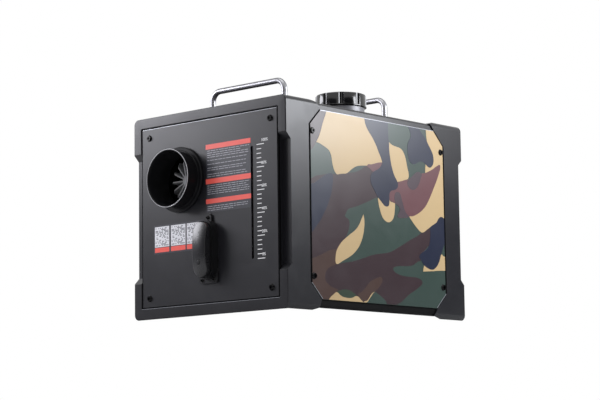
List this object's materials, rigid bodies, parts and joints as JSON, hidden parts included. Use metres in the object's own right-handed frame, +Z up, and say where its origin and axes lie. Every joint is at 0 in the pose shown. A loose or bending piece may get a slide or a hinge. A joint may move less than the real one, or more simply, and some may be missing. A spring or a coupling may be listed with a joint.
{
  "type": "diesel air heater",
  "caption": "Portable diesel air heater: a moulded case with a fuel tank, a fan-blown burner, a round hot-air outlet, carrying handles and a hand controller in its holder.",
  "frame": {"origin": "bottom centre of the bounding box, on the surface that the case stands on", "axes": "+Z up; the front with the hot-air outlet faces -Y; the side with the fuel filler is +X"},
  "size_m": [0.2912, 0.425, 0.3243],
  "materials": {
    "frame_plastic": "satin",
    "cover_plastic": "satin",
    "panel_paint": "satin",
    "side_print": "satin printed camouflage",
    "screw_black": "black oxide",
    "handle_steel": "polished",
    "plain_steel": "zinc plated",
    "duct_plastic": "satin",
    "cast_alloy": "as cast",
    "armature_iron": "lacquered",
    "tank_plastic": "translucent natural",
    "cap_plastic": "gloss",
    "clear_tube": "smoked clear hose",
    "line_rubber": "matt",
    "fitting_brass": "turned",
    "controller_plastic": "satin",
    "controller_gloss": "gloss",
    "board_green": "solder mask"
  },
  "bodies": {
    "root": {"base_tray": "cover_plastic", "blower_housing": "cast_alloy", "cable_gland": "duct_plastic", "combustion_chamber": "plain_steel", "control_unit": "board_green", "exhaust_flange": "plain_steel", "exhaust_muffler": "plain_steel", "exhaust_pipe": "plain_steel", "exhaust_tail": "plain_steel", "fan_motor": "cast_alloy", "filler_neck": "tank_plastic", "front_frame": "frame_plastic", "front_panel": "panel_paint", "front_panel_screws": "screw_black", "fuel_filter": "tank_plastic", "fuel_inlet_pipe": "plain_steel", "fuel_line_filter": "line_rubber", "fuel_line_heater": "line_rubber", "fuel_line_tank": "line_rubber", "fuel_pump": "plain_steel", "fuel_tank": "tank_plastic", "glow_plug": "plain_steel", "handle_front": "handle_steel", "handle_nuts": "plain_steel", "handle_rear": "handle_steel", "handset_holder": "controller_plastic", "handset_holder_screws": "screw_black", "heat_exchanger": "cast_alloy", "heater_casing_lower": "duct_plastic", "heater_casing_upper": "duct_plastic", "heater_stand": "plain_steel", "inlet_grille": "duct_plastic", "intake_pipe": "duct_plastic", "motor_bearings": "plain_steel", "mounting_gasket": "line_rubber", "neck_collar": "cap_plastic", "outlet_duct": "duct_plastic", "outlet_hood": "duct_plastic", "pump_clamp": "line_rubber", "rear_frame": "frame_plastic", "rear_panel": "panel_paint", "rear_panel_screws": "screw_black", "side_panel_left": "side_print", "side_panel_right": "side_print", "side_panel_screws": "screw_black", "sight_tube": "clear_tube", "tank_outlet": "fitting_brass", "tank_shelf": "plain_steel", "top_cover": "cover_plastic"},
    "rotor": {"motor_shaft": "plain_steel", "motor_armature": "armature_iron", "hot_air_fan": "duct_plastic", "combustion_blower_wheel": "duct_plastic"},
    "cap_seal": {"cap_gasket": "line_rubber"},
    "cap": {"filler_cap": "cap_plastic"},
    "piston": {"pump_piston": "plain_steel"},
    "handset": {"handset_back": "controller_plastic", "handset_face": "controller_gloss", "handset_board": "board_green"},
    "button": {"handset_button": "controller_plastic"}
  },
  "joints": [
    {"name": "fan_spin", "type": "hinge", "parent": "root", "child": "rotor", "pos_m": [-0.05345, 0.09245, 0.1873], "axis": [0, 1, 0], "continuous": true},
    {"name": "cap_lift", "type": "slide", "parent": "root", "child": "cap_seal", "axis": [0, 0, 1], "range_m": [0, 0.00675]},
    {"name": "cap_turn", "type": "hinge", "parent": "cap_seal", "child": "cap", "pos_m": [0.0807, -0.00535, 0.3], "axis": [0, 0, 1], "range_deg": [0, 541]},
    {"name": "pump_stroke", "type": "slide", "parent": "root", "child": "piston", "axis": [0, 1, 0], "range_m": [0, 0.003], "stiffness_N_per_m": 500},
    {"name": "handset_pull", "type": "slide", "parent": "root", "child": "handset", "axis": [0, -1, 0], "range_m": [0, 0.03]},
    {"name": "button_press", "type": "slide", "parent": "handset", "child": "button", "axis": [0, 1, 0], "range_m": [0, 0.0006], "stiffness_N_per_m": 500}
  ],
  "couplings": [
    {"joint": "cap_turn", "follows": "cap_lift", "rad_per_m": 1396.3}
  ]
}
